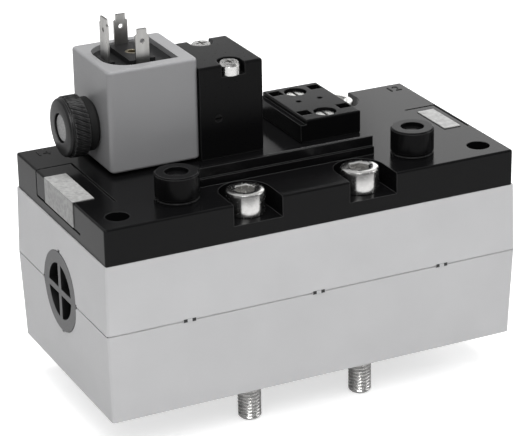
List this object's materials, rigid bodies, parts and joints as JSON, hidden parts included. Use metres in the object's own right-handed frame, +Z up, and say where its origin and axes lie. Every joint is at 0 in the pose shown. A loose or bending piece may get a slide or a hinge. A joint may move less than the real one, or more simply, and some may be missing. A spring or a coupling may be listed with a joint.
{
  "type": "directional control valve",
  "caption": "Sub-base mounted solenoid-pilot spool valve: two-part cast body, black cover with pilot, coil and blanking plate, held by long screws.",
  "frame": {"origin": "centre of the rectangle that the body covers, on the plane that the four screw ends stand on", "axes": "+X along the long front face to the right, +Y to the rear, +Z up out of the cover"},
  "size_m": [0.15, 0.0798, 0.1309],
  "materials": {
    "grey_casting": "die-cast, grey painted, fine orange peel",
    "seal_rubber": "moulded nitrile rubber",
    "gasket_sheet": "thin black gasket sheet",
    "black_cover": "black moulded, semi-gloss",
    "black_plastic": "black glass-filled moulding",
    "black_pilot": "black moulding, satin",
    "black_nut": "black knurled moulding",
    "button_plastic": "black moulding, satin",
    "grille_plastic": "dark grey moulding",
    "grey_moulding": "grey encapsulated coil",
    "zinc_steel": "bright zinc-plated",
    "turned_steel": "turned, bare",
    "spring_steel": "drawn wire",
    "plain_aluminium": "turned and honed",
    "copper_winding": "enamelled copper wire",
    "brass": "turned",
    "tinned_brass": "tin-plated blade",
    "label_film": "blank light label strip"
  },
  "bodies": {
    "valve": {"lower_body": "grey_casting", "upper_body": "grey_casting", "port_seals": "seal_rubber", "body_gasket": "gasket_sheet", "cover_gasket": "seal_rubber", "top_cover": "black_cover", "mounting_screws": "zinc_steel", "valve_sleeve": "plain_aluminium", "sleeve_seals": "seal_rubber", "drive_cup": "black_plastic", "return_cup": "black_plastic", "end_grille": "grille_plastic", "label_strip_left": "label_film", "label_strip_right": "label_film", "override_guide_left": "black_plastic", "override_guide_right": "black_plastic", "override_spring_left": "spring_steel", "override_spring_right": "spring_steel", "pilot_gasket": "seal_rubber", "pilot_body": "black_pilot", "pilot_screws": "zinc_steel", "blanking_gasket": "seal_rubber", "blanking_plate": "black_plastic", "blanking_screws": "zinc_steel", "armature_tube": "turned_steel", "coil_housing": "grey_moulding", "coil_winding": "copper_winding", "yoke_plates": "turned_steel", "connector_insert": "black_plastic", "plug_bush": "brass", "contact_pin_front": "tinned_brass", "contact_pin_rear": "tinned_brass", "earth_pin": "tinned_brass", "coil_collar": "seal_rubber"},
    "spool_set": {"spool": "plain_aluminium", "drive_piston": "black_plastic", "piston_seal": "seal_rubber"},
    "left_button": {"override_button_left": "button_plastic"},
    "right_button": {"override_button_right": "button_plastic"},
    "plunger": {"plunger": "turned_steel", "plunger_spring": "spring_steel"},
    "coil_nut": {"coil_nut": "black_nut"},
    "pilot_pin": {"pilot_override": "brass"}
  },
  "joints": [
    {"name": "spool_shift", "type": "slide", "parent": "valve", "child": "spool_set", "axis": [1, 0, 0], "range_m": [-0.011, 0]},
    {"name": "left_override_press", "type": "slide", "parent": "valve", "child": "left_button", "axis": [0, 0, 1], "range_m": [-0.002, 0], "stiffness_N_per_m": 1500, "deforming": ["override_spring_left"]},
    {"name": "right_override_press", "type": "slide", "parent": "valve", "child": "right_button", "axis": [0, 0, 1], "range_m": [-0.002, 0], "stiffness_N_per_m": 1500, "deforming": ["override_spring_right"]},
    {"name": "plunger_lift", "type": "slide", "parent": "valve", "child": "plunger", "axis": [1, 0, 0], "range_m": [-0.0009, 0], "stiffness_N_per_m": 800},
    {"name": "nut_turn", "type": "hinge", "parent": "valve", "child": "coil_nut", "pos_m": [-0.06, 0.0176, 0.0956], "axis": [1, 0, 0], "continuous": true},
    {"name": "pilot_pin_turn", "type": "hinge", "parent": "valve", "child": "pilot_pin", "pos_m": [-0.0159, 0.001, 0.0956], "axis": [0, 1, 0], "range_deg": [0, 90]}
  ]
}
